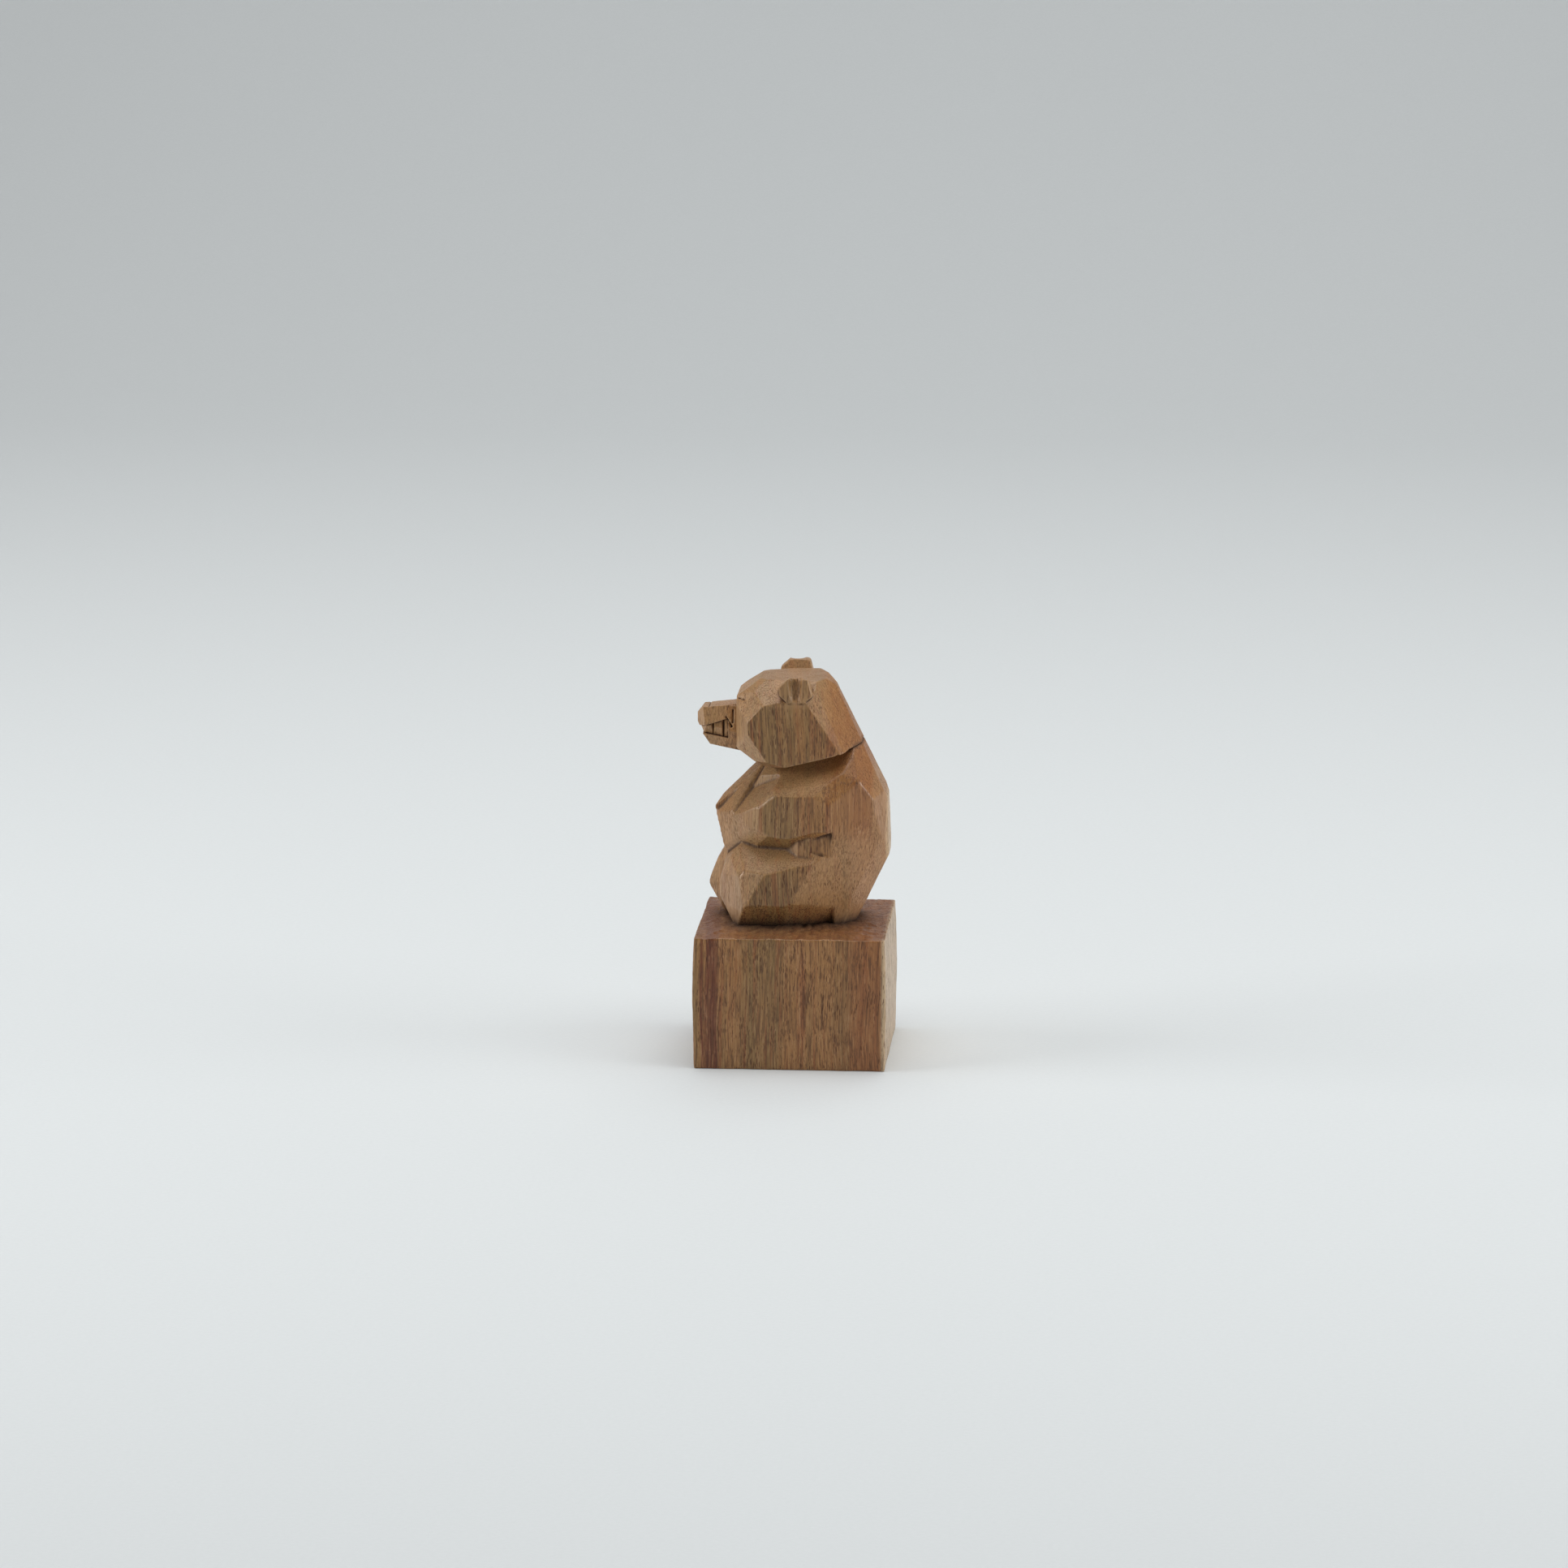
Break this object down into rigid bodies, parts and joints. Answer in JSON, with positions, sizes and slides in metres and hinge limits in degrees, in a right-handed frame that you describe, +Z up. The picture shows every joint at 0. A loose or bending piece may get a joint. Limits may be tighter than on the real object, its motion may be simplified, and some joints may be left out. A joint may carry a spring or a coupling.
{
  "type": "carved wooden figurine",
  "caption": "Hand-carved wooden figurine of a sitting bear with its arms folded, in flat knife facets, standing on a square plinth of the same wood.",
  "frame": {"origin": "middle of the plinth's underside, on the table", "axes": "+Z up through the bear's head, -X the way the bear faces, -Y toward its left side"},
  "size_m": [0.0511, 0.05, 0.1023],
  "materials": {
    "wood": "bare knife-cut hardwood, satin on the smoother facets, open pores"
  },
  "bodies": {
    "root": {"plinth": "wood", "torso": "wood", "head": "wood", "muzzle": "wood", "teeth": "wood", "lower_jaw": "wood", "left_ear": "wood", "right_ear": "wood", "left_arm": "wood", "right_arm": "wood", "left_leg": "wood", "right_leg": "wood"}
  },
  "joints": []
}
